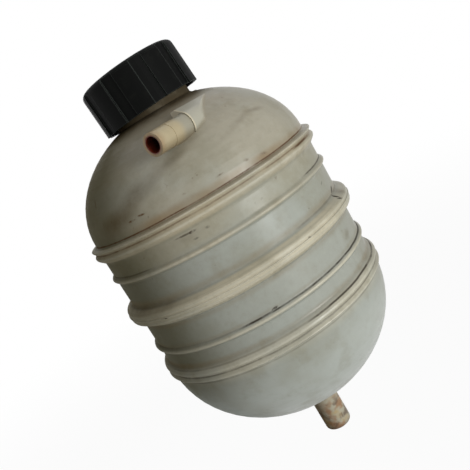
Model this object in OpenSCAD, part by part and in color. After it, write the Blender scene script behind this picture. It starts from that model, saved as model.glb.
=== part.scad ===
// Coolant expansion tank with a screw-on pressure cap.
// The tank is two moulded halves welded in a heavy middle rib. The filler neck leans a little.
// Millimetres, +Z up along the tank's axis, origin on that axis in the plane of the weld.

/* [Tank wall] */
// Outer radius of the straight wall between the ribs
wall_r = 70; // [60:0.5:90]
// Thickness of the moulded wall
wall_t = 3; // [2:0.1:4]
// Step from the straight wall in to the foot of the upper dome
upper_inset = 0.3; // [0:0.1:2]
// Step from the straight wall out to the foot of the lower dome
lower_outset = 1.4; // [0:0.1:2]
// Rise of the upper dome above its foot
upper_dome_h = 51.7; // [46:0.1:62]
// Drop of the lower dome below its foot
lower_dome_h = 61.1; // [48:0.1:70]

/* [Ribs] */
// Height of the middle rib over the wall
mid_rib_h = 5.2; // [3:0.1:8]
// Width of the middle rib's crest
mid_rib_flat = 4.8; // [3:0.1:8]
// Width of the middle rib where it meets the wall
mid_rib_foot = 13.6; // [9:0.2:20]
// Radius of the bead of melted plastic along the weld
weld_bead_r = 0.5; // [0.3:0.05:1.5]
// Distance of each small rib from the weld plane
small_rib_z = 23.7; // [18:0.1:26]
// Height of a small rib over the wall
small_rib_h = 2; // [1:0.1:2.8]
// Width of a small rib where it meets the wall
small_rib_w = 5.2; // [4:0.1:7]
// Distance of the upper double rib's groove from the weld plane
upper_groove_z = 41.6; // [38:0.1:46]
// Distance of the lower double rib's groove from the weld plane
lower_groove_z = 40.4; // [38:0.1:46]
// Distance of each crest of a double rib from its groove
crest_gap = 2.2; // [1.8:0.1:2.6]
// Height of a double rib over the wall
double_rib_h = 3.6; // [2:0.1:4.5]
// Depth of the groove between the two crests
groove_depth = 1.3; // [0.6:0.1:1.8]
// Width of a double rib's sloping flank towards the middle of the tank
flank_w = 5; // [3:0.1:7]
// Width of a double rib's steep edge towards the dome
edge_w = 1.5; // [1:0.1:2.5]

/* [Filler neck] */
// Depth of the cap's lower edge below the crown of the dome
neck_sink = 0.7; // [-2:0.1:1.2]
// Angle between the neck and the tank's axis
neck_lean = 3.7; // [0:0.1:4.5]
// Direction in which the neck leans, counted from +X towards +Y
neck_lean_dir = 167; // [0:1:359]
// How much smaller the neck's outer radius is than the cap's
neck_inset = 7.3; // [7.1:0.1:8.5]
// Thickness of the neck's wall
neck_wall = 3.5; // [2.5:0.1:4]
// How far the collar at the neck's foot stands out from the neck
collar_out = 3.5; // [1.5:0.1:4.5]
// Distance of the collar's top below the cap's lower edge
collar_drop = 4.9; // [3:0.1:6]
// Height of the collar
collar_h = 3; // [2:0.1:5]
// Size of the slope between the neck and its collar
collar_slope = 1.6; // [0.5:0.1:2.5]

/* [Bleed nipple] */
// Outer radius of the hose nipple on the upper dome
nipple_r = 6; // [4.8:0.05:6.4]
// Bore radius of the nipple
nipple_bore_r = 4.2; // [2.6:0.1:4.4]
// Depth of the nipple's bore inside the dome's surface
nipple_bore_in = 8; // [5:0.5:12]
// Length of the nipple that the hose goes over
hose_seat = 11; // [8:0.5:12]
// Height of the step that stops the hose
hose_step = 0.2; // [0.1:0.05:0.4]
// Length of the nipple from the dome's surface to its open end
nipple_len = 28.4; // [24:0.5:36]
// Angle from the foot of the dome up to the nipple's axis
nipple_rise = 40.8; // [34:0.2:44]
// Direction from the tank's axis to the nipple's root, counted from +X towards +Y
nipple_root_dir = -77.5; // [-110:0.5:-60]
// Direction in which the nipple points, counted from +X towards +Y
nipple_dir = -135; // [-150:0.5:-110]
// Radius of the moulded block's round side, around the nipple
boss_r = 6.9; // [6.7:0.1:8]
// Height of the block's flat top over the nipple's axis
boss_top = 9.2; // [7.5:0.1:10]
// Distance of the flat top's edge from the nipple's axis, towards the neck
boss_corner = 3.2; // [2:0.1:6]
// Distance from the dome's surface to the middle of the block's front face
boss_front = 2; // [1:0.2:5]
// Slant of the block's front face
boss_front_angle = 14; // [0:1:20]
// Angle between the nipple and the block's slanted back end
boss_end_angle = 26.6; // [20:0.2:40]

/* [Outlet] */
// Outer radius of the outlet spigot
outlet_r = 8.6; // [7.5:0.1:10]
// Bore radius of the outlet spigot
outlet_bore_r = 6.2; // [5:0.1:6.8]
// Distance of the spigot's open end below the lower dome's lowest point
outlet_len = 30; // [24:0.5:40]
// Radius of the rounded edge at the spigot's end
outlet_edge_r = 2; // [0.4:0.1:2.4]
// Radius of the swelling where the spigot leaves the dome
outlet_root_r = 9.2; // [9:0.1:14]
// Length of the spigot's tapered root
outlet_root_h = 10; // [6:0.5:14]

/* [Cap cover] */
// Outer radius of the cap at its lower edge
cap_r = 30.8; // [27:0.1:36]
// Height of the cap's side, with the rounded edge
cap_h = 27.3; // [24:0.1:32]
// How much narrower the cap is at its top
cap_draft = 0.3; // [0:0.1:0.5]
// Radius of the rounded top edge
cap_edge_r = 3.6; // [1:0.1:4]
// Rise of the crowned top over the edge
cap_crown = 0.8; // [0.2:0.1:1.5]
// Thickness of the cap's top
cap_top_t = 2.5; // [2:0.1:4]
// Thickness of the gripping skirt
skirt_t = 2.3; // [2:0.1:2.5]
// Number of grip recesses
grip_count = 10; // [6:1:14]
// Width of a grip recess, as an angle
grip_angle = 14; // [8:0.5:18]
// Depth of a grip recess
grip_depth = 1; // [0.4:0.1:1.2]
// Direction of the first grip recess, counted from +X towards +Y
grip_start = -77.2; // [-180:0.2:180]
// Thickness of the threaded tube inside the cap
thread_tube_t = 1.5; // [1.2:0.1:1.7]
// Gap between the neck's root diameter and the cap's threaded tube
thread_gap = 2.3; // [2.2:0.1:2.4]
// Height of the threaded tube's mouth over the cap's lower edge
thread_tube_lift = 1.6; // [1:0.1:4]
// Thickness of the webs between the tube and the skirt
web_t = 1.4; // [1:0.1:2]

/* [Valve insert] */
// Gap between the neck's bore and the insert's tube
insert_gap = 1.7; // [1.4:0.1:2]
// Thickness of the insert's tube
insert_wall = 3; // [2.8:0.1:3.4]
// Depth of the insert below the neck's rim
insert_depth = 25; // [22:0.1:26]
// Thickness of the insert's floor
insert_floor_t = 2.5; // [2:0.1:3.5]
// How far the insert's flange reaches past the neck's outside
flange_out = 0.9; // [0.8:0.1:1.5]
// Thickness of the insert's flange
flange_t = 1.8; // [1.4:0.1:2.5]
// Thickness of the flat gasket under the flange
gasket_t = 1.8; // [1.2:0.1:2.5]
// Section radius of the sealing ring in the neck
ring_r = 1.55; // [1.3:0.05:1.7]
// Distance of the sealing ring below the neck's rim
ring_depth = 15; // [8:0.1:18]
// How far the spring plate is let into the insert's wall
stop_step = 1.5; // [0.9:0.1:1.7]
// Thickness of the spring plate
stop_t = 2; // [1.5:0.1:2.6]
// Radius of the vents through the spring plate
vent_r = 2; // [1:0.1:2.4]

/* [Pressure valve] */
// Radius of the hole in the insert's floor, as a share of the insert's bore
port_share = 0.47; // [0.44:0.01:0.5]
// Middle radius of the raised seat round the hole, as a share of the insert's bore
seat_share = 0.615; // [0.6:0.005:0.65]
// Height of the raised seat
seat_h = 1; // [0.6:0.1:1.4]
// Width of the raised seat
seat_w = 1.4; // [1:0.1:1.8]
// Outer radius of the rubber disc, as a share of the insert's bore
disc_share = 0.75; // [0.72:0.01:0.78]
// Thickness of the rubber disc
disc_seal_t = 1; // [0.8:0.1:1.5]
// Radius of the pressure plate, as a share of the insert's bore
plate_share = 0.785; // [0.78:0.005:0.85]
// Thickness of the pressure plate
plate_t = 1.8; // [1.4:0.1:2.4]
// Width of each guide lug on the pressure plate
lug_w = 5; // [3:0.2:7]
// Middle radius of the pressure spring, as a share of the insert's bore
spring_share = 0.62; // [0.56:0.01:0.66]
// Wire radius of the pressure spring
spring_wire_r = 0.9; // [0.6:0.05:1.1]
// Turns of the pressure spring
spring_turns = 5; // [3:0.5:7]

/* [Vacuum valve] */
// Radius of the vacuum valve's head, as a share of the insert's bore
poppet_share = 0.39; // [0.35:0.01:0.41]
// Thickness of the head
poppet_t = 1.6; // [1.2:0.1:2]
// Radius of the stem
stem_r = 1.6; // [1.2:0.05:1.8]
// Length of the stem over the pressure plate
stem_len = 6.6; // [6:0.1:9]
// Radius of the stem's spring clip
clip_r = 3.8; // [3.4:0.1:4.2]
// Thickness of the clip
clip_t = 1; // [0.7:0.1:1.4]
// Middle radius of the vacuum spring
vac_spring_r = 2.7; // [2.5:0.05:3]
// Wire radius of the vacuum spring
vac_wire_r = 0.3; // [0.2:0.05:0.4]
// Turns of the vacuum spring
vac_turns = 4; // [3:0.5:6]
// Length of the vacuum spring as fitted
vac_spring_len = 4.7; // [4.2:0.1:5]

/* [Clearances] */
// Gap between parts that slide past each other
run_gap = 0.15; // [0.08:0.01:0.25]
// Gap between a valve's face and its seat
seat_gap = 0.05; // [0.02:0.01:0.1]

/* [Hidden] */
$fn = 96;
dome_steps = 18;
swell_steps = 6;
coil_sides = 8;
coil_steps = 18;
tank_plastic = [0.76, 0.74, 0.66];
cap_plastic = [0.09, 0.1, 0.1];
insert_plastic = [0.82, 0.8, 0.72];
seal_rubber = [0.12, 0.12, 0.12];
spring_steel = [0.62, 0.63, 0.64];
upper_foot_r = wall_r - upper_inset;
lower_foot_r = wall_r + lower_outset;
upper_foot_z = upper_groove_z + crest_gap + edge_w;
lower_foot_z = lower_groove_z + crest_gap + edge_w;
mid_rib_r = wall_r + mid_rib_h;
apex_z = upper_foot_z + upper_dome_h;
nadir_z = -lower_foot_z - lower_dome_h;
outlet_z = nadir_z - outlet_len;
neck_z = apex_z - neck_sink;
neck_r = cap_r - neck_inset;
neck_bore_r = neck_r - neck_wall;
collar_r = neck_r + collar_out;
thread_tube_r = neck_r + thread_gap;
flange_r = neck_r + flange_out;
insert_r = neck_bore_r - insert_gap;
insert_bore_r = insert_r - insert_wall;
stop_r = insert_bore_r + stop_step;
port_r = port_share * insert_bore_r;
seat_r = seat_share * insert_bore_r;
disc_seal_r = disc_share * insert_bore_r;
plate_r = plate_share * insert_bore_r;
spring_r = spring_share * insert_bore_r;
poppet_r = poppet_share * insert_bore_r;
ceiling_z = cap_h - cap_top_t;
flange_top = ceiling_z - run_gap;
flange_z = flange_top - flange_t;
rim_z = flange_z - gasket_t;
catch_z = rim_z + 0.4;
catch_h = flange_z - run_gap - catch_z;
insert_z = rim_z - insert_depth;
floor_z = insert_z + insert_floor_t;
seat_z = floor_z + seat_h;
disc_seal_z = seat_z + seat_gap;
plate_z = disc_seal_z + disc_seal_t;
plate_top = plate_z + plate_t;
stop_z = flange_top - stop_t;
clip_z = plate_top + vac_spring_len;
ring_z = rim_z - ring_depth;
ring_middle_r = neck_bore_r - run_gap - ring_r;
nipple_z = upper_foot_z + upper_dome_h * sin(nipple_rise);
nipple_root_r = upper_foot_r * cos(nipple_rise);

// Points along a quarter of an ellipse, from its widest point, or the first after it, to its top
function quarter_ellipse(a, b, z, steps, first) =
    [for (i = [first:steps]) [a * cos(90 * i / steps), z + b * sin(90 * i / steps)]];

// Points along a round edge's section, whose centre is at radius r and height z
function bead(r, z, bead_r, from, to, steps) =
    [for (i = [0:steps])
        let (a = from + (to - from) * i / steps)
        [r + bead_r * cos(a), z + bead_r * sin(a)]];

function reversed(list) = [for (i = [len(list) - 1:-1:0]) list[i]];

// Points of a soft S from one radius and height to the next, without the first point
function swell(from, to) =
    [for (i = [1:swell_steps])
        let (s = i / swell_steps, ease = (1 - cos(180 * s)) / 2)
        [from[0] + (to[0] - from[0]) * ease, from[1] + (to[1] - from[1]) * s]];

// Soft S shapes through a list of radii and heights, one after the other
function swells(stops) = [for (k = [1:len(stops) - 1]) each swell(stops[k - 1], stops[k])];

// Outside of one tank half above the weld plane, from the weld bead up over the dome
function outside(foot_r, foot_z, groove_z, dome_h) =
    let (
        crest_r = wall_r + double_rib_h,
        low_crest_z = groove_z - crest_gap,
        high_crest_z = groove_z + crest_gap
    )
    concat(
        bead(mid_rib_r, 0, weld_bead_r, 0, 90, 3),
        [[mid_rib_r, mid_rib_flat / 2]],
        swell([mid_rib_r, mid_rib_flat / 2], [wall_r, mid_rib_foot / 2]),
        [[wall_r, small_rib_z - small_rib_w / 2]],
        swells([[wall_r, small_rib_z - small_rib_w / 2], [wall_r + small_rib_h, small_rib_z],
            [wall_r, small_rib_z + small_rib_w / 2]]),
        [[wall_r, low_crest_z - flank_w]],
        swells([[wall_r, low_crest_z - flank_w], [crest_r, low_crest_z], [crest_r - groove_depth, groove_z],
            [crest_r, high_crest_z], [foot_r, foot_z]]),
        quarter_ellipse(foot_r, dome_h, foot_z, dome_steps, 1)
    );

function inside(foot_r, foot_z, dome_h) =
    concat(
        [[wall_r - wall_t, 0], [wall_r - wall_t, foot_z - wall_t]],
        quarter_ellipse(foot_r - wall_t, dome_h - wall_t, foot_z, dome_steps, 0)
    );

// One tank half, turned from its wall's section
module tank_half(foot_r, foot_z, groove_z, dome_h) {
    rotate_extrude()
        polygon(concat(outside(foot_r, foot_z, groove_z, dome_h), reversed(inside(foot_r, foot_z, dome_h))));
}

module dome_space(foot_r, foot_z, dome_h) {
    rotate_extrude()
        polygon(concat([[0, foot_z]], quarter_ellipse(foot_r - wall_t, dome_h - wall_t, foot_z, dome_steps, 0)));
}

// Places its children on the leaning neck, with z = 0 at the cap's lower edge
module on_neck() {
    translate([0, 0, neck_z])
        rotate([0, 0, neck_lean_dir])
            rotate([0, neck_lean, 0])
                rotate([0, 0, -neck_lean_dir])
                    children();
}

// Places its children on the nipple's axis, with z = 0 where it leaves the dome and +z outwards
module on_nipple() {
    translate([nipple_root_r * cos(nipple_root_dir), nipple_root_r * sin(nipple_root_dir), nipple_z])
        rotate([0, 0, nipple_dir])
            rotate([0, 90, 0])
                children();
}

module ring(outer, inner, height) {
    difference() {
        cylinder(r = outer, h = height);
        translate([0, 0, -1])
            cylinder(r = inner, h = height + 2);
    }
}

// The block behind the nipple: round towards the outside, flat on top, cut off at a slant behind
module nipple_boss() {
    reach = boss_r / tan(boss_end_angle);
    slant = boss_r * tan(boss_front_angle);
    intersection() {
        translate([0, 0, boss_front + boss_r - 4 * reach])
            linear_extrude(4 * reach)
                hull() {
                    circle(r = boss_r);
                    translate([-boss_top, -boss_r])
                        square([boss_top, boss_r - boss_corner]);
                }
        rotate([0, -90, 0])
            linear_extrude(4 * boss_r, center = true)
                polygon([[boss_front - slant, -boss_r], [boss_front + slant, boss_r],
                    [boss_front - boss_r, boss_r], [boss_front - boss_r - 2 * reach, -boss_r]]);
    }
}

module upper_shell() {
    bore_foot = collar_drop + collar_h + wall_t;
    color(tank_plastic)
        difference() {
            union() {
                tank_half(upper_foot_r, upper_foot_z, upper_groove_z, upper_dome_h);
                difference() {
                    union() {
                        on_neck()
                            neck_blank(bore_foot);
                        on_nipple() {
                            nipple_boss();
                            translate([0, 0, -boss_r])
                                cylinder(r = nipple_r, h = nipple_len + boss_r);
                            translate([0, 0, -boss_r])
                                cylinder(r = nipple_r + hose_step, h = nipple_len - hose_seat + boss_r);
                        }
                    }
                    dome_space(upper_foot_r, upper_foot_z, upper_dome_h);
                }
            }
            on_neck()
                translate([0, 0, -2 * bore_foot])
                    cylinder(r = neck_bore_r, h = 2 * bore_foot + rim_z + 1);
            on_nipple()
                translate([0, 0, -nipple_bore_in])
                    cylinder(r = nipple_bore_r, h = nipple_len + nipple_bore_in + 1);
        }
}

// The neck before it is bored: tube, and the collar at its foot in the dome
module neck_blank(bore_foot) {
    translate([0, 0, -bore_foot])
        cylinder(r = neck_r, h = bore_foot + rim_z);
    translate([0, 0, -collar_drop - collar_h])
        cylinder(r = collar_r, h = collar_h);
    translate([0, 0, -collar_drop])
        cylinder(r1 = neck_r + collar_slope, r2 = neck_r, h = collar_slope);
}

module lower_shell() {
    color(tank_plastic)
        difference() {
            union() {
                mirror([0, 0, 1])
                    tank_half(lower_foot_r, lower_foot_z, lower_groove_z, lower_dome_h);
                difference() {
                    outlet_blank();
                    mirror([0, 0, 1])
                        dome_space(lower_foot_r, lower_foot_z, lower_dome_h);
                }
            }
            translate([0, 0, outlet_z - 1])
                cylinder(r = outlet_bore_r, h = outlet_len + 4 * wall_t + 1);
        }
}

// The spigot before it is bored, with a rounded end and a tapered root
module outlet_blank() {
    root_top = nadir_z + 2 * wall_t;
    rotate_extrude()
        polygon(concat([[0, outlet_z]],
            bead(outlet_r - outlet_edge_r, outlet_z + outlet_edge_r, outlet_edge_r, -90, 0, 5),
            [[outlet_r, nadir_z - outlet_root_h], [outlet_root_r, root_top], [0, root_top]]));
}

// Half section of the cap's outside: drafted side, rounded edge, crowned top
module cap_outline() {
    top_r = cap_r - cap_draft;
    polygon(concat([[0, 0], [cap_r, 0]], bead(top_r - cap_edge_r, cap_h - cap_edge_r, cap_edge_r, 0, 90, 6),
        [[0, cap_h + cap_crown]]));
}

// One grip recess as an upright sector that is cut from the skirt
module grip_cut() {
    far_r = cap_r + 2;
    near_r = cap_r - cap_draft - grip_depth;
    half = grip_angle / 2;
    translate([0, 0, -1])
        linear_extrude(cap_h + cap_crown + 2)
            polygon([for (a = [-half, 0, half]) near_r * [cos(a), sin(a)],
                for (a = [half, 0, -half]) far_r * [cos(a), sin(a)]]);
}

module cap_cover() {
    skirt_bore_r = cap_r - cap_draft - grip_depth - skirt_t / 2;
    color(cap_plastic)
        on_neck()
            difference() {
                union() {
                    difference() {
                        rotate_extrude()
                            cap_outline();
                        translate([0, 0, -1])
                            cylinder(r = skirt_bore_r, h = ceiling_z + 1);
                    }
                    translate([0, 0, thread_tube_lift])
                        ring(thread_tube_r + thread_tube_t, thread_tube_r, cap_h - thread_tube_lift - cap_top_t / 2);
                    translate([0, 0, catch_z])
                        ring(thread_tube_r + thread_tube_t / 2, flange_r - 0.6, catch_h);
                    for (i = [0:grip_count - 1])
                        rotate([0, 0, grip_start + i * 360 / grip_count])
                            translate([thread_tube_r + thread_tube_t / 2, -web_t / 2, 2 * thread_tube_lift])
                                cube([skirt_bore_r - thread_tube_r, web_t, ceiling_z - 2 * thread_tube_lift]);
                }
                for (i = [0:grip_count - 1])
                    rotate([0, 0, grip_start + i * 360 / grip_count])
                        grip_cut();
            }
}

module cap_gasket() {
    color(seal_rubber)
        on_neck()
            translate([0, 0, rim_z])
                ring(neck_r - run_gap, insert_r + run_gap, gasket_t);
}

module valve_housing() {
    color(insert_plastic)
        on_neck()
            difference() {
                union() {
                    difference() {
                        union() {
                            translate([0, 0, insert_z])
                                cylinder(r = insert_r, h = flange_top - insert_z);
                            translate([0, 0, flange_z])
                                cylinder(r = flange_r, h = flange_t);
                        }
                        translate([0, 0, floor_z])
                            cylinder(r = insert_bore_r, h = flange_top - floor_z + 1);
                    }
                    translate([0, 0, floor_z])
                        ring(seat_r + seat_w / 2, seat_r - seat_w / 2, seat_h);
                }
                translate([0, 0, insert_z - 1])
                    cylinder(r = port_r, h = insert_floor_t + 2);
                translate([0, 0, stop_z])
                    cylinder(r = stop_r + seat_gap, h = stop_t + 1);
                translate([0, 0, ring_z - ring_r - seat_gap])
                    ring(insert_r + 1, ring_middle_r - ring_r - seat_gap, 2 * (ring_r + seat_gap));
            }
}

module housing_o_ring() {
    color(seal_rubber)
        on_neck()
            translate([0, 0, ring_z])
                rotate_extrude()
                    translate([ring_middle_r, 0])
                        circle(r = ring_r, $fn = 32);
}

module spring_plate() {
    vents = 6;
    color(insert_plastic)
        on_neck()
            difference() {
                union() {
                    translate([0, 0, stop_z])
                        cylinder(r = stop_r, h = stop_t);
                    translate([0, 0, stop_z - stop_t / 2])
                        ring(spring_r - spring_wire_r - run_gap, spring_r / 2, stop_t);
                }
                for (i = [0:vents - 1])
                    rotate([0, 0, i * 360 / vents])
                        translate([spring_r + spring_wire_r + vent_r, 0, stop_z - stop_t])
                            cylinder(r = vent_r, h = 3 * stop_t);
            }
}

// A wire wound round z from low to high, as rings of points joined into one closed tube
module coil(middle_r, wire_r, low, high, turns) {
    rings = round(turns * coil_steps);
    points = [for (i = [0:rings])
        let (a = 360 * turns * i / rings, z = low + wire_r + (high - low - 2 * wire_r) * i / rings)
        for (k = [0:coil_sides - 1])
            let (b = 360 * k / coil_sides, r = middle_r + wire_r * cos(b))
            [r * cos(a), r * sin(a), z + wire_r * sin(b)]];
    sides = [for (i = [0:rings - 1])
        for (k = [0:coil_sides - 1])
            let (j = (k + 1) % coil_sides, low_ring = i * coil_sides, high_ring = (i + 1) * coil_sides)
            [low_ring + k, low_ring + j, high_ring + j, high_ring + k]];
    first = [for (k = [coil_sides - 1:-1:0]) k];
    last = [for (k = [0:coil_sides - 1]) rings * coil_sides + k];
    polyhedron(points = points, faces = concat([first], sides, [last]), convexity = 10);
}

module pressure_spring() {
    color(spring_steel)
        on_neck()
            coil(spring_r, spring_wire_r, plate_top + seat_gap, stop_z - seat_gap, spring_turns);
}

module pressure_plate() {
    lugs = 4;
    color(insert_plastic)
        on_neck()
            difference() {
                union() {
                    translate([0, 0, plate_z])
                        cylinder(r = plate_r, h = plate_t);
                    intersection() {
                        translate([0, 0, plate_z])
                            cylinder(r = insert_bore_r - run_gap, h = plate_t);
                        for (i = [0:lugs / 2 - 1])
                            rotate([0, 0, i * 180 / (lugs / 2)])
                                translate([-insert_bore_r, -lug_w / 2, plate_z])
                                    cube([2 * insert_bore_r, lug_w, plate_t]);
                    }
                }
                translate([0, 0, plate_z - 1])
                    cylinder(r = stem_r + run_gap, h = plate_t + 2);
            }
}

module disc_seal() {
    color(seal_rubber)
        on_neck()
            translate([0, 0, disc_seal_z])
                ring(disc_seal_r, stem_r + run_gap, disc_seal_t);
}

module vacuum_valve() {
    head_top = disc_seal_z - seat_gap;
    color(insert_plastic)
        on_neck() {
            translate([0, 0, head_top - poppet_t])
                cylinder(r = poppet_r, h = poppet_t);
            translate([0, 0, head_top - poppet_t / 2])
                cylinder(r = stem_r, h = plate_top + stem_len - head_top + poppet_t / 2);
        }
}

module vacuum_spring() {
    color(spring_steel)
        on_neck()
            coil(vac_spring_r, vac_wire_r, plate_top + seat_gap, clip_z - seat_gap, vac_turns);
}

module vacuum_clip() {
    color(spring_steel)
        on_neck()
            translate([0, 0, clip_z])
                ring(clip_r, stem_r + seat_gap, clip_t);
}

upper_shell();
lower_shell();
cap_cover();
cap_gasket();
valve_housing();
housing_o_ring();
spring_plate();
pressure_spring();
pressure_plate();
disc_seal();
vacuum_valve();
vacuum_spring();
vacuum_clip();
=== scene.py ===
"""Looks of a used coolant expansion tank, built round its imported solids. Metres, +Z up its axis."""

import math

import bpy
from mathutils import Matrix, Vector


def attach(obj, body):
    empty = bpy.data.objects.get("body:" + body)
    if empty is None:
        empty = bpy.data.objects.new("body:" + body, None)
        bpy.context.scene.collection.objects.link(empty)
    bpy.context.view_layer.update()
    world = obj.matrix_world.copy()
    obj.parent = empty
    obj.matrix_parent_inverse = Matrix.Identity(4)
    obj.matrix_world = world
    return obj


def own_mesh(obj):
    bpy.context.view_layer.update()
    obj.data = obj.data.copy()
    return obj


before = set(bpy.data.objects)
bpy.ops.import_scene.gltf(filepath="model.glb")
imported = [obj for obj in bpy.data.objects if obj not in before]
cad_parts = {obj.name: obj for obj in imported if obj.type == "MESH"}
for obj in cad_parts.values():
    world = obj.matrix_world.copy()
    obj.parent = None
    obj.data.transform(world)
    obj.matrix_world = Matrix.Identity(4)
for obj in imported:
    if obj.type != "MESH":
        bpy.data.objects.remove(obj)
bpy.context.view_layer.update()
MM = 0.001

# Sizes of the tank that its finish and its threads follow
NECK_Z = 96.3 * MM
NECK_LEAN = math.radians(3.7)
NECK_LEAN_DIR = math.radians(167)
NECK_R = 23.5 * MM
CAP_BORE_R = 25.8 * MM
NIPPLE_ROOT = Vector((11.420, -51.512, 79.082)) * MM
NIPPLE_DIR = math.radians(-135)
BLOCK_FRONT = 2 * MM
BLOCK_SLANT = math.tan(math.radians(14))
DOME_FOOT_Z = 45.3 * MM
DOME_FOOT_R = 69.7 * MM
DOME_H = 51.7 * MM
# Heights of the lines along the ribs that stand out most, in mm; they are painted paler, partly wear and
# partly painted highlight
CREST_HEIGHTS = (43.8, 39.4, 23.7, 2.0, 0.0, -2.0, -23.7, -38.2, -42.6)

NIPPLE_AXIS = Vector((math.cos(NIPPLE_DIR), math.sin(NIPPLE_DIR), 0))
NECK = (
    Matrix.Translation((0, 0, NECK_Z))
    @ Matrix.Rotation(NECK_LEAN_DIR, 4, "Z")
    @ Matrix.Rotation(NECK_LEAN, 4, "Y")
    @ Matrix.Rotation(-NECK_LEAN_DIR, 4, "Z")
)
NECK_AXIS = NECK.to_3x3() @ Vector((0, 0, 1))

# Faces that meet at less than this angle are shaded as one
SMOOTH_ANGLE = math.radians(28)

# The camera stands where the photograph was taken, rolled so that the tank leans in the picture
IMAGE_PX = 470
FOCAL_PX = 603.9
SENSOR_WIDTH_MM = 36
CAMERA_PLACE = Vector((0, -0.3597, 0.0806))
CAMERA_YAW = math.radians(0.58)
CAMERA_PITCH = math.radians(-11.48)
CAMERA_ROLL = math.radians(30.67)


def make_camera():
    data = bpy.data.cameras.new("camera")
    data.sensor_width = SENSOR_WIDTH_MM
    data.lens = FOCAL_PX / IMAGE_PX * SENSOR_WIDTH_MM
    data.clip_start = 10 * MM
    camera = bpy.data.objects.new("camera", data)
    bpy.context.scene.collection.objects.link(camera)
    turn = Matrix.Rotation(-CAMERA_YAW, 4, "Z") @ Matrix.Rotation(math.pi / 2 + CAMERA_PITCH, 4, "X")
    roll = Matrix.Rotation(-CAMERA_ROLL, 4, "Z")
    camera.matrix_world = Matrix.Translation(CAMERA_PLACE) @ turn @ roll
    bpy.context.scene.camera = camera


make_camera()


class Nodes:
    """Short calls that add nodes to a tree. What they take is a plain value or another node's socket."""

    def __init__(self, tree):
        self.tree = tree

    def put(self, socket, value):
        if isinstance(value, bpy.types.NodeSocket):
            self.tree.links.new(value, socket)
        else:
            socket.default_value = value

    def make(self, kind, **inputs):
        node = self.tree.nodes.new(kind)
        for name, value in inputs.items():
            self.put(node.inputs[name], value)
        return node

    def math(self, operation, a, b=0.0):
        node = self.tree.nodes.new("ShaderNodeMath")
        node.operation = operation
        self.put(node.inputs[0], a)
        self.put(node.inputs[1], b)
        return node.outputs[0]

    def times(self, *values):
        total = values[0]
        for value in values[1:]:
            total = self.math("MULTIPLY", total, value)
        return total

    def plus(self, *values):
        total = values[0]
        for value in values[1:]:
            total = self.math("ADD", total, value)
        return total

    def most(self, *values):
        total = values[0]
        for value in values[1:]:
            total = self.math("MAXIMUM", total, value)
        return total

    def vector(self, operation, a, b=(0, 0, 0)):
        node = self.tree.nodes.new("ShaderNodeVectorMath")
        node.operation = operation
        self.put(node.inputs[0], a)
        self.put(node.inputs[1], b)
        return node.outputs["Value" if operation in ("DOT_PRODUCT", "LENGTH") else "Vector"]

    def span(self, value, low, high, to_low=0.0, to_high=1.0):
        """Turns low..high into to_low..to_high, eased at both ends and level beyond them."""
        node = self.tree.nodes.new("ShaderNodeMapRange")
        node.interpolation_type = "SMOOTHSTEP"
        for socket, number in zip(node.inputs[:5], (value, low, high, to_low, to_high)):
            self.put(socket, number)
        return node.outputs[0]

    def near(self, value, middle, inner, outer):
        """1 where value is within inner of middle, falling to 0 at outer."""
        away = self.math("ABSOLUTE", self.math("SUBTRACT", value, middle))
        return self.span(away, inner, outer, 1.0, 0.0)

    def within(self, value, low, high, ease):
        """1 between low and high, falling to 0 over ease at both ends."""
        return self.times(
            self.span(value, low - ease, low + ease),
            self.span(value, high - ease, high + ease, 1.0, 0.0),
        )

    def mix(self, factor, a, b):
        """Colour a where factor is 0 and colour b where it is 1."""
        node = self.tree.nodes.new("ShaderNodeMix")
        node.data_type = "RGBA"
        self.put(node.inputs[0], factor)
        self.put(node.inputs[6], a)
        self.put(node.inputs[7], b)
        return node.outputs[2]

    def seen(self):
        """1 for rays that show a surface in the picture or in a reflection, 0 for those that light it."""
        path = self.make("ShaderNodeLightPath").outputs
        return self.most(path["Is Camera Ray"], path["Is Glossy Ray"], path["Is Transmission Ray"])


class Shader(Nodes):
    """The nodes of one material, which follow the place on the piece."""

    def __init__(self, name):
        self.material = bpy.data.materials.new(name)
        self.material.use_nodes = True
        super().__init__(self.material.node_tree)
        self.surface = self.tree.nodes["Principled BSDF"]
        self.place = self.make("ShaderNodeTexCoord").outputs["Object"]

    def axis(self, origin, direction):
        """Distance along a straight line from its origin, and distance from that line."""
        offset = self.vector("SUBTRACT", self.place, tuple(origin))
        along = self.vector("DOT_PRODUCT", offset, tuple(direction))
        across = self.vector("CROSS_PRODUCT", offset, tuple(direction))
        return along, self.vector("LENGTH", across)

    def noise(self, scale, detail=4.0, rough=0.5, stretch=(1, 1, 1)):
        place = self.make("ShaderNodeMapping", Vector=self.place, Scale=stretch).outputs[0]
        node = self.make("ShaderNodeTexNoise", Vector=place, Scale=scale, Detail=detail, Roughness=rough)
        return node.outputs["Fac"]

    def finish(self, **inputs):
        for name, value in inputs.items():
            self.put(self.surface.inputs[name.replace("_", " ")], value)
        return self.material


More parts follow.
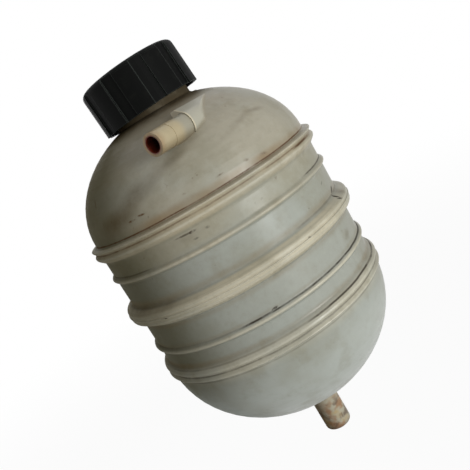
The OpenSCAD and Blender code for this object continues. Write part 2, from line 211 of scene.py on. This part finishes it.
class TankShader(Shader):
    """A shader that also knows the way round the tank, and the unevenness that its marks share."""

    def __init__(self, name):
        super().__init__(name)
        parts = self.make("ShaderNodeSeparateXYZ", Vector=self.place).outputs
        self.x, self.z = parts["X"], parts["Z"]
        squares = self.plus(self.times(self.x, self.x), self.times(parts["Y"], parts["Y"]))
        self.radius = self.math("SQRT", squares)
        self.angle = self.times(self.math("ARCTAN2", parts["Y"], self.x), 180 / math.pi)
        self.side = self.math("DIVIDE", self.x, self.radius)
        self.cloud = self.noise(24, 3, 0.55)
        self.patch = self.noise(60, 5, 0.6)
        self.ragged = self.span(self.noise(300, 4, 0.7), 0.36, 0.54, 0.2, 1.0)
        wobble = self.times(self.math("SUBTRACT", self.noise(50, 2), 0.5), 0.7 * MM)
        self.wavy_z = self.plus(self.z, wobble)

    def mark(self, around, height, length, width, turn, soft=1.0):
        """A soft ellipse on the skin, 1 in its middle and 0 past its half length and half width.

        It lies at an angle about the axis and a height, and is turned from level, in degrees and mm."""
        level = self.times(self.math("SUBTRACT", self.angle, around), self.radius, math.pi / 180)
        rise = self.math("SUBTRACT", self.z, height * MM)
        cos, sin = math.cos(math.radians(turn)), math.sin(math.radians(turn))
        long = self.plus(self.times(level, cos / (length * MM)), self.times(rise, sin / (length * MM)))
        short = self.plus(self.times(rise, cos / (width * MM)), self.times(level, -sin / (width * MM)))
        away = self.math("SQRT", self.plus(self.times(long, long), self.times(short, short)))
        return self.span(away, 1 - soft, 1, 1.0, 0.0)


def srgb(red, green, blue):
    """A colour as a picture shows it, 0 to 255, in the renderer's linear numbers."""
    def linear(value):
        value /= 255
        return value / 12.92 if value <= 0.04045 else ((value + 0.055) / 1.055) ** 2.4
    return (linear(red), linear(green), linear(blue), 1.0)


# The tank's bare plastic, from below upward, then what lies on it
LOWER_DOME = srgb(172, 176, 169)
COOL_WALL = srgb(158, 160, 151)
WARM_WALL = srgb(159, 154, 136)
SHOULDER = srgb(164, 158, 141)
UPPER_DOME = srgb(151, 142, 123)
LOWER_RIBS = srgb(184, 179, 161)
MIDDLE_RIB = srgb(196, 187, 163)
UPPER_RIBS = srgb(184, 173, 148)
WORN_CREST_AND_HIGHLIGHT = srgb(204, 200, 182)
WELD_LAYER = srgb(134, 128, 108)
PALE_DRIFT = srgb(168, 174, 168)
DULL_DRIFT = srgb(136, 132, 112)
OLIVE_PATCH = srgb(124, 116, 90)
DARK_GRAIN = srgb(126, 120, 100)
PALE_GRAIN = srgb(190, 190, 178)
LEFT_DIRT_AND_SHADE = srgb(92, 86, 56)
RIGHT_DIRT_AND_SHADE = srgb(132, 129, 112)
BROWN_STAIN = srgb(124, 106, 74)
RUSTY_STAIN = srgb(132, 104, 64)
SMEAR = srgb(86, 73, 48)
BLACK_GRIME = srgb(48, 40, 28)
BROWN_GRIME = srgb(84, 58, 32)
NECK_DIRT_AND_SHADOW = srgb(66, 55, 37)

BLOCK_SKIN = srgb(184, 182, 167)
BLOCK_EDGE_HIGHLIGHT = srgb(218, 206, 178)
NIPPLE_GREY = srgb(156, 151, 134)
NIPPLE_CREAM = srgb(178, 163, 130)
NIPPLE_RUST = srgb(132, 88, 46)
NIPPLE_UNDER_SHADE = srgb(112, 92, 60)
BORE_SHADE = srgb(30, 10, 6)
BORE_CRUST = srgb(96, 34, 18)
OUTLET_BEIGE = srgb(172, 163, 140)
OUTLET_BLOTCHES = (
    # Scale, strength and colour
    (110, 0.75, srgb(142, 92, 44)),
    (85, 0.60, srgb(178, 146, 84)),
    (150, 0.70, srgb(78, 52, 30)),
)
OUTLET_DIRT_AND_SHADE = srgb(78, 58, 34)
OUTLET_END = srgb(84, 54, 30)

CAP_BLACK = srgb(9, 10, 9)
CAP_DUST = srgb(24, 25, 22)
CAP_WORN_AND_HIGHLIGHT = srgb(66, 70, 67)
INNER_DUST = srgb(90, 80, 60)

# Tints round the tank: height and half width in mm, strength, and the angles about the tank's axis,
# in degrees, between which each shows. Wide ones are stains and thin ones are lines of grime. The wide
# bands at the feet of the middle rib and of the lower double rib are partly stain and partly painted shade.
STAINS_AND_SHADE_BANDS = (
    (46.6, 4.2, 0.60, -122, -52),
    (46.6, 3.2, 0.35, -60, 12),
    (41.6, 1.5, 0.30, -180, 180),
    # The next two bands, above and below the middle rib, are partly stain and partly painted shade
    (7.8, 3.4, 0.40, -180, 180),
    (-7.2, 2.6, 0.30, -180, 180),
    (-20.6, 1.8, 0.25, -180, 180),
    # This band, at the foot of the lower double rib, is partly stain and partly painted shade
    (-33.8, 2.6, 0.40, -180, 180),
)
GRIME_LINES = (
    (45.6, 0.60, 1.00, -180, 25),
    (41.6, 0.65, 0.60, -180, 25),
    (41.2, 0.80, 1.00, -44, -24),
    (26.0, 0.60, 0.45, -180, -128),
    (25.9, 0.55, 0.80, -44, 20),
    (6.6, 0.80, 0.35, -62, 25),
    (-21.8, 0.70, 1.00, -106, -90),
    (-22.0, 0.55, 0.95, -92, 25),
    (-21.5, 0.60, 0.25, -180, -104),
    (-36.0, 0.60, 0.95, -80, 25),
    (-35.8, 0.60, 0.35, -180, -76),
    (-40.4, 0.75, 0.55, -180, 25),
    (-44.8, 0.70, 0.30, -180, 25),
)
# Smears and specks: angle and height of the middle, half length and half width in mm, turn from level
# in degrees and strength. A speck's last number is how much of it is its soft edge.
GRIME_SMEARS = (
    (-90, 69.5, 22, 4.0, 14, 0.55),
    (-115, 62.5, 23, 7.0, 16, 0.85),
    (-132, 54.5, 22, 8.0, 8, 0.80),
    (-140, 5.5, 48, 3.4, 0, 0.60),
    (-43, 68.0, 9, 2.2, -11, 0.50),
    (-60, 67.0, 24, 2.5, 12, 0.30),
    (-98, 48.5, 14, 2.2, 0, 0.25),
    (-24, 4.5, 9, 4.0, 0, 0.55),
    (-36, -15.6, 7, 3.0, 15, 0.30),
    (-104, 32.5, 13, 4.0, 0, 0.22),
)
GRIME_SPECKS = (
    (-146.0, 67.5, 3.4, 0.9, -68, 0.65, 0.9),
    (-117.5, 52.8, 2.9, 0.7, -6, 0.95, 0.6),
    (-123.0, 52.2, 3.1, 0.7, 0, 0.90, 0.6),
    (-80.6, 50.7, 3.4, 0.7, 2, 0.70, 0.8),
    (-67.6, 50.0, 2.2, 1.1, -13, 0.60, 0.9),
    (-59.1, 48.0, 3.2, 1.2, -11, 0.60, 0.9),
    (-96.7, 51.6, 1.5, 0.7, -3, 0.60, 0.8),
    (-105.1, 34.0, 7.5, 0.7, -2, 0.75, 0.6),
    (-101.8, 33.8, 2.7, 0.9, 0, 1.00, 0.5),
    (-101.8, 29.9, 2.2, 0.8, -2, 0.60, 0.8),
    (-95.4, 32.1, 1.9, 1.0, -8, 0.50, 0.9),
    (-36.4, 35.7, 2.0, 0.6, 60, 0.50, 0.9),
    (-34.0, 15.7, 3.0, 0.7, 19, 0.45, 0.9),
    (-26.5, 8.2, 5.5, 1.2, 21, 0.90, 0.7),
    (-31.2, 5.2, 2.6, 1.1, 54, 1.00, 0.5),
    (-32.4, 3.4, 2.2, 0.9, -20, 1.00, 0.5),
    (-62.6, 0.7, 1.4, 0.7, -5, 0.60, 0.8),
    (-131.7, -0.1, 3.2, 0.5, -3, 0.90, 0.6),
    (-89.0, -21.1, 2.6, 1.0, 12, 1.00, 0.6),
    (-98.9, -43.2, 1.6, 0.7, 26, 0.60, 0.8),
)


def bare_plastic(s):
    """Cool in the walls, creamier on the ribs, tanned and darker over the upper dome, and darker towards
    both sides, partly as painted shade.
    """
    edge = s.plus(s.z, s.times(s.math("SUBTRACT", s.cloud, 0.5), 12 * MM))
    colour = s.mix(s.span(edge, 20 * MM, 28 * MM), COOL_WALL, WARM_WALL)
    colour = s.mix(s.span(s.z, -44 * MM, -64 * MM), colour, LOWER_DOME)
    colour = s.mix(s.span(edge, 42 * MM, 50 * MM), colour, SHOULDER)
    colour = s.mix(s.span(edge, 62 * MM, 92 * MM), colour, UPPER_DOME)
    rib = s.times(s.span(s.radius, 70.5 * MM, 72.2 * MM), s.span(s.z, -50 * MM, -44 * MM))
    rib_tint = s.mix(s.span(s.z, -30 * MM, -10 * MM), LOWER_RIBS, MIDDLE_RIB)
    rib_tint = s.mix(s.span(s.z, 8 * MM, 20 * MM), rib_tint, UPPER_RIBS)
    colour = s.mix(s.times(rib, 0.95), colour, rib_tint)
    # Paler lines along the crests: partly wear and partly painted highlight
    for height in CREST_HEIGHTS:
        wear_and_highlight = s.times(s.near(s.z, height * MM, 0.2 * MM, 1.0 * MM), 0.45)
        colour = s.mix(wear_and_highlight, colour, WORN_CREST_AND_HIGHLIGHT)
    layers = s.times(s.noise(12, 3, 0.6, (1, 1, 75)), s.near(s.z, 0.0, 4 * MM, 7 * MM))
    colour = s.mix(s.span(layers, 0.42, 0.62, 0.0, 0.30), colour, WELD_LAYER)

    # Long pale and dull drifts with a fine grain, then darker tints towards both sides, partly dirt and
    # partly painted shade
    drift = s.noise(17, 4, 0.55, (1, 1, 1.7))
    colour = s.mix(s.span(drift, 0.46, 0.70, 0.0, 0.35), colour, PALE_DRIFT)
    colour = s.mix(s.span(s.cloud, 0.46, 0.72, 0.0, 0.42), colour, DULL_DRIFT)
    colour = s.mix(s.span(s.patch, 0.50, 0.70, 0.0, 0.26), colour, OLIVE_PATCH)
    grain = s.noise(260, 4, 0.7)
    coarse = s.span(s.z, -55 * MM, -35 * MM, 0.4, 1.0)
    colour = s.mix(s.times(s.span(grain, 0.50, 0.66), coarse, 0.13), colour, DARK_GRAIN)
    colour = s.mix(s.times(s.span(grain, 0.48, 0.34), coarse, 0.08), colour, PALE_GRAIN)
    on_rib = s.span(rib, 0, 1, 1.0, 0.6)
    # The -X side is painted darker: partly dirt and partly painted shade on the side away from the light
    left = s.times(s.span(s.side, -0.18, -0.88), s.span(s.z, -75 * MM, -35 * MM), on_rib)
    colour = s.mix(s.times(left, 0.78), colour, LEFT_DIRT_AND_SHADE)
    # Near the +X outline it is painted a little darker: partly dirt and partly painted shade
    right = s.times(s.span(s.side, 0.70, 0.94), s.span(s.z, -62 * MM, -44 * MM), 0.45)
    return s.mix(right, colour, RIGHT_DIRT_AND_SHADE)


def add_stains_and_shade(s, colour):
    """Soft brown bands along the ribs, some of them partly painted shade at the ribs' feet, and long smears
    over the upper dome.
    """
    stain = s.mix(s.span(s.z, 42 * MM, 46 * MM), BROWN_STAIN, RUSTY_STAIN)
    for height, half, strength, start, end in STAINS_AND_SHADE_BANDS:
        band = s.times(s.near(s.wavy_z, height * MM, 0.0, half * MM), s.within(s.angle, start, end, 10))
        band = s.times(band, s.span(s.patch, 0.30, 0.60, 0.60, 1.0), strength)
        colour = s.mix(band, colour, stain)
    for around, height, length, width, turn, strength in GRIME_SMEARS:
        smear = s.mark(around, height, length, width, turn)
        smear = s.times(smear, s.span(s.patch, 0.32, 0.62, 0.5, 1.0), strength)
        colour = s.mix(smear, colour, SMEAR)
    return colour


def grime_share(s):
    """How much dark grime lies in the roots of the ribs and in specks, broken up in places."""
    broken = s.span(s.noise(65, 4, 0.65), 0.34, 0.54, 0.55, 1.0)
    grime = 0.0
    for height, half, strength, start, end in GRIME_LINES:
        line = s.near(s.wavy_z, height * MM, half * 0.2 * MM, half * MM)
        reach = s.within(s.angle, start, end, 4)
        grime = s.most(grime, s.times(line, reach, broken, strength))
    for around, height, length, width, turn, strength, soft in GRIME_SPECKS:
        speck = s.mark(around, height, length, width, turn, soft)
        grime = s.most(grime, s.times(speck, s.ragged, strength))
    speckle = s.times(s.span(s.noise(420, 2), 0.66, 0.76), s.span(s.patch, 0.48, 0.64))
    return s.most(grime, s.times(speckle, s.span(s.z, -60 * MM, 60 * MM, 0.10, 0.40)))


def neck_share(s):
    """1 on the neck and its collar, falling to 0 on the dome round them."""
    along, away = s.axis(NECK.translation, NECK_AXIS)
    return s.times(s.span(away, 42 * MM, 28 * MM), s.span(along, -16 * MM, -7 * MM))


def add_block(s, colour):
    """The block behind the nipple, which stands out of the dome: pale, with a painted highlight on the face
    at its front.
    """
    along, across = s.axis(NIPPLE_ROOT, NIPPLE_AXIS)
    over_foot = s.plus(s.z, -DOME_FOOT_Z)
    out = s.plus(
        s.times(s.radius, s.radius, DOME_FOOT_R ** -2),
        s.times(over_foot, over_foot, DOME_H ** -2),
    )
    offset = s.vector("SUBTRACT", s.place, tuple(NIPPLE_ROOT))
    aside = s.vector("DOT_PRODUCT", offset, (-NIPPLE_AXIS.y, NIPPLE_AXIS.x, 0))
    to_front = s.plus(along, s.times(aside, -BLOCK_SLANT), -BLOCK_FRONT)
    reach = s.times(s.span(across, 13 * MM, 12 * MM), s.span(along, 5 * MM, 4 * MM))
    block = s.times(s.span(out, 1.01, 1.09), reach)
    colour = s.mix(s.times(block, 0.65), colour, BLOCK_SKIN)
    # The ring face at the front lies in shade and is painted paler, as a painted highlight
    front = s.times(block, s.span(across, 6.3 * MM, 6.5 * MM), s.span(to_front, -1.2 * MM, -0.5 * MM))
    return s.mix(s.times(front, 0.7), colour, BLOCK_EDGE_HIGHLIGHT)


def add_nipple(s, colour):
    """Grey at its root, cream further out, with a rusty mouth, painted shade on its underside, and a bore
    painted dark as shade with a rusty crust near the mouth.
    """
    along, across = s.axis(NIPPLE_ROOT, NIPPLE_AXIS)
    on_nipple = s.times(s.span(across, 6.7 * MM, 6.4 * MM), s.span(along, -3 * MM, 1 * MM))
    skin = s.mix(s.span(along, 8 * MM, 14 * MM), NIPPLE_GREY, NIPPLE_CREAM)
    colour = s.mix(s.times(on_nipple, 0.9), colour, skin)
    uneven = s.plus(along, s.times(s.math("SUBTRACT", s.patch, 0.5), 8 * MM))
    mouth = s.span(uneven, 23 * MM, 29 * MM, 0.0, 0.45)
    inner_rim = s.span(across, 5.7 * MM, 4.4 * MM, 0.0, 0.55)
    rings = s.span(s.noise(9, 2, 0.5, (40, 40, 4)), 0.42, 0.6, 0.65, 1.0)
    colour = s.mix(s.times(s.plus(mouth, inner_rim), on_nipple, rings), colour, NIPPLE_RUST)
    # Painted shade on the nipple's underside
    under = s.span(s.z, NIPPLE_ROOT.z - 1 * MM, NIPPLE_ROOT.z - 6 * MM)
    colour = s.mix(s.times(on_nipple, under, 0.5), colour, NIPPLE_UNDER_SHADE)
    # The inside of the bore is painted dark as shade, with a rusty crust towards the mouth
    bore = s.times(s.span(across, 4.9 * MM, 4.3 * MM), s.span(along, 0.0, 2 * MM))
    crust = s.times(s.ragged, s.span(along, 20 * MM, 28 * MM))
    return s.mix(bore, colour, s.mix(crust, BORE_SHADE, BORE_CRUST))


def add_outlet(s, colour):
    """Beige, with soft rust, yellow and dark stains that grow towards its end."""
    outlet = s.span(s.z, -104 * MM, -112 * MM)
    colour = s.mix(s.times(outlet, 0.85), colour, OUTLET_BEIGE)
    for scale, strength, tint in OUTLET_BLOTCHES:
        blotch = s.times(s.span(s.noise(scale, 3), 0.48, 0.62), s.span(s.z, -106 * MM, -122 * MM))
        colour = s.mix(s.times(blotch, strength), colour, tint)
    # The outlet's -X side is painted darker: partly dirt and partly painted shade on the side away from the
    # light
    dirt = s.times(outlet, s.span(s.x, 2 * MM, -9 * MM), 0.65)
    colour = s.mix(dirt, colour, OUTLET_DIRT_AND_SHADE)
    return s.mix(s.span(s.z, -131.5 * MM, -135 * MM, 0.0, 0.6), colour, OUTLET_END)


def tank_plastic():
    s = TankShader("tank_plastic")
    grime = grime_share(s)
    neck = neck_share(s)
    colour = add_stains_and_shade(s, bare_plastic(s))
    colour = s.mix(grime, colour, s.mix(s.span(s.z, 30 * MM, 44 * MM), BLACK_GRIME, BROWN_GRIME))
    # The neck and its collar under the cap are painted dark: partly dirt and partly painted shadow of the
    # cap
    colour = s.mix(s.times(neck, s.span(s.patch, 0.3, 0.6, 0.65, 0.92)), colour, NECK_DIRT_AND_SHADOW)
    colour = add_outlet(s, add_nipple(s, add_block(s, colour)))

    # The skin is slightly wavy, and dirt takes its shine; the tank is also rougher towards -X and less
    # shiny towards both sides, partly standing in for shade
    waves = s.plus(s.noise(38, 2), s.times(s.noise(420, 3, 0.6), 0.08))
    skin = s.make("ShaderNodeBump", Height=waves, Strength=0.30, Distance=0.9 * MM)
    dull = s.span(s.side, -0.30, -0.85, 0.0, 0.3)
    rough = s.plus(s.span(s.patch, 0.3, 0.7, 0.32, 0.43), s.times(grime, 0.2), dull, s.times(neck, 0.25))
    sheen = s.times(s.span(s.side, -0.80, -0.25, 0.02, 0.40), s.span(s.side, 0.55, 0.88, 1.0, 0.4))
    return s.finish(
        Base_Color=colour,
        Roughness=rough,
        Normal=skin.outputs["Normal"],
        Specular_IOR_Level=s.times(sheen, s.span(neck, 0, 1, 1.0, 0.15)),
    )


def cap_plastic():
    """Dull black with a little dust, paler along its rounded edges: partly wear and partly painted
    highlight.
    """
    s = Shader("cap_plastic")
    dust = s.span(s.noise(140, 5, 0.65), 0.5, 0.75, 0.0, 0.45)
    rounded = s.make("ShaderNodeBevel", Radius=0.7 * MM)
    rounded.samples = 4
    normal = rounded.outputs["Normal"]
    facing = s.make("ShaderNodeNewGeometry").outputs["Normal"]
    # Paler along the rounded edges: partly wear and partly painted highlight
    wear_and_highlight = s.span(s.vector("DOT_PRODUCT", normal, facing), 0.999, 0.94, 0.0, 0.85)
    colour = s.mix(wear_and_highlight, s.mix(dust, CAP_BLACK, CAP_DUST), CAP_WORN_AND_HIGHLIGHT)
    return s.finish(Base_Color=colour, Roughness=0.55, Normal=normal, Specular_IOR_Level=0.06)


def inner_material(name, colour, roughness, metallic=0.0):
    """A plain material of the pieces in the cap, with a little dust on it."""
    s = Shader(name)
    dust = s.span(s.noise(900, 3), 0.3, 0.7, 0.0, 0.25)
    return s.finish(Base_Color=s.mix(dust, colour, INNER_DUST), Roughness=roughness, Metallic=metallic)


tank = tank_plastic()
cap = cap_plastic()
rubber = inner_material("seal_rubber", srgb(34, 34, 34), 0.7)
insert = inner_material("insert_plastic", srgb(205, 198, 176), 0.45)
steel = inner_material("spring_steel", srgb(170, 170, 172), 0.3, metallic=1.0)
MATERIAL_OF = {
    "upper_shell": tank,
    "lower_shell": tank,
    "cap_cover": cap,
    "cap_gasket": rubber,
    "housing_o_ring": rubber,
    "disc_seal": rubber,
    "valve_housing": insert,
    "spring_plate": insert,
    "pressure_plate": insert,
    "vacuum_valve": insert,
    "pressure_spring": steel,
    "vacuum_spring": steel,
    "vacuum_clip": steel,
}


def dress(mesh, material):
    mesh.materials.clear()
    mesh.materials.append(material)
    mesh.shade_smooth()
    mesh.set_sharp_from_angle(angle=SMOOTH_ANGLE)


for name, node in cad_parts.items():
    dress(node.data, MATERIAL_OF[name])


# The screw thread between the neck and the cap: one ridge on each, with the sizes of its section
PITCH = 4 * MM
RIDGE_DEPTH = 1.4 * MM
RIDGE_SUNK = 0.2 * MM
END_SUNK = 0.15 * MM
HALF_ROOT = 0.9 * MM
HALF_CREST = 0.35 * MM
STEPS_A_TURN = 96
RUN_OUT_STEPS = 16


def thread(name, wall_r, outward, low, turns, body, material):
    """A helical ridge on a round wall of the neck or the cap, run out to nothing at both ends."""
    steps = int(turns * STEPS_A_TURN)
    root_r = wall_r - outward * RIDGE_SUNK
    corners = []
    for step in range(steps + 1):
        angle = 2 * math.pi * step / STEPS_A_TURN
        height = low + PITCH * step / STEPS_A_TURN
        fullness = min(1.0, min(step, steps - step) / RUN_OUT_STEPS)
        crest_r = wall_r + outward * (fullness * (RIDGE_DEPTH + END_SUNK) - END_SUNK)
        section = ((root_r, -HALF_ROOT), (crest_r, -HALF_CREST), (crest_r, HALF_CREST), (root_r, HALF_ROOT))
        for r, rise in section:
            corners.append(NECK @ Vector((r * math.cos(angle), r * math.sin(angle), height + rise)))
    faces = [(0, 1, 2, 3), tuple(4 * steps + k for k in (3, 2, 1, 0))]
    for step in range(steps):
        for k in range(4):
            a, b = 4 * step + k, 4 * step + (k + 1) % 4
            faces.append((a, a + 4, b + 4, b))
    if outward < 0:
        faces = [face[::-1] for face in faces]
    mesh = bpy.data.meshes.new(name)
    mesh.from_pydata(corners, [], faces)
    dress(mesh, material)
    piece = bpy.data.objects.new(name, mesh)
    bpy.context.scene.collection.objects.link(piece)
    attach(piece, body)


# The cap's ridge starts half a pitch below the neck's, so that each runs between the turns of the other
thread("neck_thread", NECK_R, 1, 6 * MM, 3.2, "tank", tank)
thread("cap_thread", CAP_BORE_R, -1, 4 * MM, 3.4, "cap", cap)


def compress(name):
    """Gives a spring its own copy of its mesh."""
    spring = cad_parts[name]
    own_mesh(spring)


compress("pressure_spring")
compress("vacuum_spring")


# The room's light grows from its dim side to its bright side, and the floor whitens with distance
BRIGHT_SIDE = (0.70, -0.65, -0.10)
DIM_LEVEL = 0.10
BRIGHT_LEVEL = 0.58
FLOOR_Z = -0.42
FLOOR_HALF = 4.0
FLOOR_GREY = srgb(236, 236, 234)


def make_room():
    """A room that lights the tank more from the right, with plain white walls to look at."""
    world = bpy.data.worlds.new("studio")
    bpy.context.scene.world = world
    world.use_nodes = True
    n = Nodes(world.node_tree)
    way = n.make("ShaderNodeTexCoord").outputs["Generated"]
    level = n.span(n.vector("DOT_PRODUCT", way, BRIGHT_SIDE), -0.9, 0.9, DIM_LEVEL, BRIGHT_LEVEL)
    sky = n.tree.nodes["Background"]
    n.put(sky.inputs["Color"], (1, 1, 1, 1))
    n.put(sky.inputs["Strength"], n.most(level, n.seen()))


def make_floor():
    """A pale floor that looks white where it is lit and still shows the tank's shadow."""
    mesh = bpy.data.meshes.new("floor")
    corners = [(x * FLOOR_HALF, y * FLOOR_HALF, FLOOR_Z) for x, y in ((-1, -1), (1, -1), (1, 1), (-1, 1))]
    mesh.from_pydata(corners, [], [(0, 1, 2, 3)])
    s = Shader("floor")
    whiteness = s.span(s.vector("LENGTH", s.place), 0.6, 2.2, 0.93, 1.0)
    both = s.make("ShaderNodeMixShader")
    s.put(both.inputs[0], s.times(s.seen(), whiteness))
    s.put(both.inputs[1], s.surface.outputs[0])
    s.put(both.inputs[2], s.make("ShaderNodeEmission").outputs[0])
    s.put(s.tree.nodes["Material Output"].inputs["Surface"], both.outputs[0])
    mesh.materials.append(s.finish(Base_Color=FLOOR_GREY, Roughness=0.9))
    floor = bpy.data.objects.new("floor", mesh)
    bpy.context.scene.collection.objects.link(floor)


def area_light(name, place, size, power, colour):
    """A round lamp that points at the tank."""
    data = bpy.data.lights.new(name, "AREA")
    data.shape = "DISK"
    data.size = size
    data.energy = power
    data.color = colour
    light = bpy.data.objects.new(name, data)
    light.location = place
    light.rotation_mode = "QUATERNION"
    light.rotation_quaternion = (-Vector(place)).to_track_quat("-Z", "Y")
    bpy.context.scene.collection.objects.link(light)


make_room()
make_floor()
area_light("key", place=(0.43, -0.60, 0.02), size=0.26, power=2.7, colour=(0.98, 1.0, 0.98))
area_light("back", place=(-0.10, 0.75, 0.25), size=0.50, power=2.0, colour=(1, 1, 1))
bpy.context.scene.view_settings.view_transform = "Standard"
